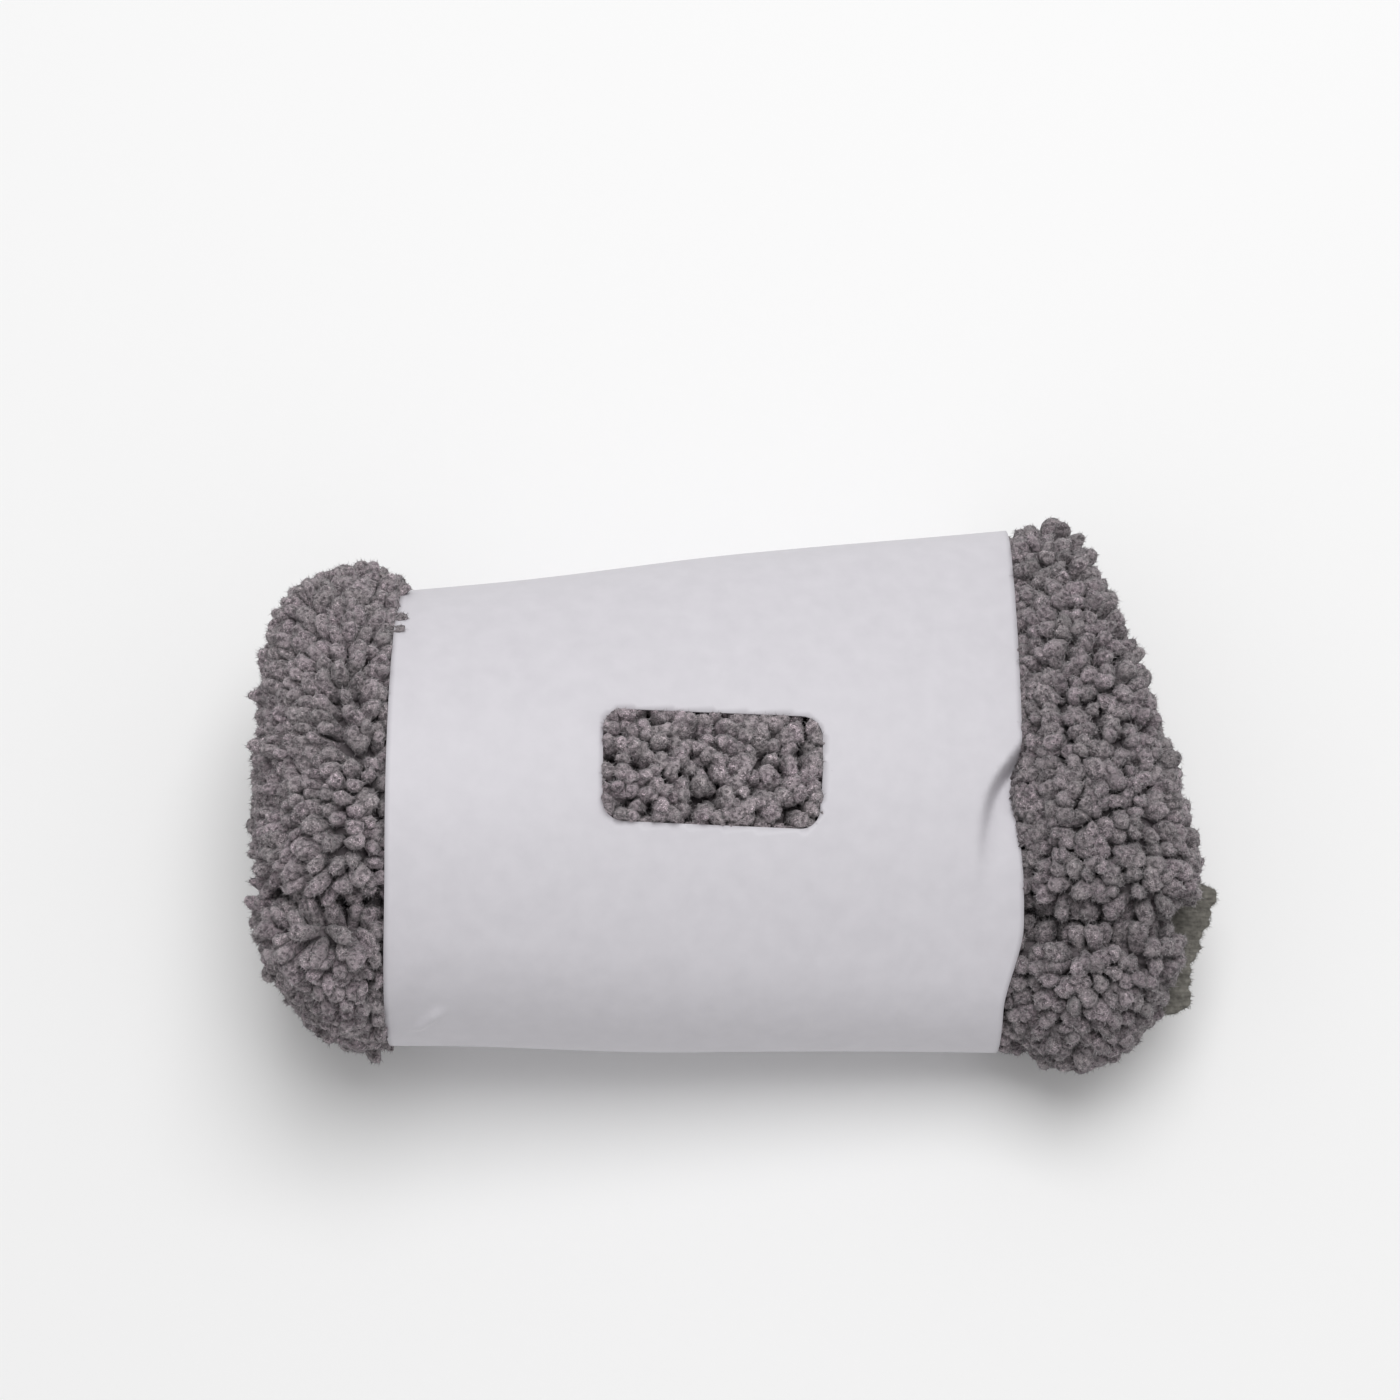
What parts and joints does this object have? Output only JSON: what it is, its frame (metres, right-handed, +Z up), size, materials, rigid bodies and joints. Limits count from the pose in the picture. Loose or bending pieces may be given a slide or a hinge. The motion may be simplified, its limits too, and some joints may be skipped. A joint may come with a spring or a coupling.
{
  "type": "fleece bundle in card sleeve",
  "caption": "Folded grey curly-pile fleece articles packed side by side in a tapered card sleeve with a rounded window; the sleeve slides off either end.",
  "frame": {"origin": "centre of the bounding box's underside, on the surface that the bundle lies on", "axes": "+X along the bundle towards its wide, flat end, +Y to the back, +Z up through the window"},
  "size_m": [0.1896, 0.1127, 0.0761],
  "materials": {
    "white_card": "satin",
    "paper_glue": "satin",
    "grey_pile": "matte",
    "plain_knit": "matte"
  },
  "bodies": {
    "bundle": {"back_roll": "grey_pile", "front_roll": "grey_pile", "back_hem": "plain_knit", "front_hem": "plain_knit"},
    "sleeve": {"card_sleeve": "white_card", "sleeve_glue_strip": "paper_glue"}
  },
  "joints": [
    {"name": "sleeve_slide", "type": "slide", "parent": "bundle", "child": "sleeve", "axis": [1, 0, 0], "range_m": [-0.163, 0.173], "deforming": ["back_roll", "front_roll", "front_hem"]}
  ]
}
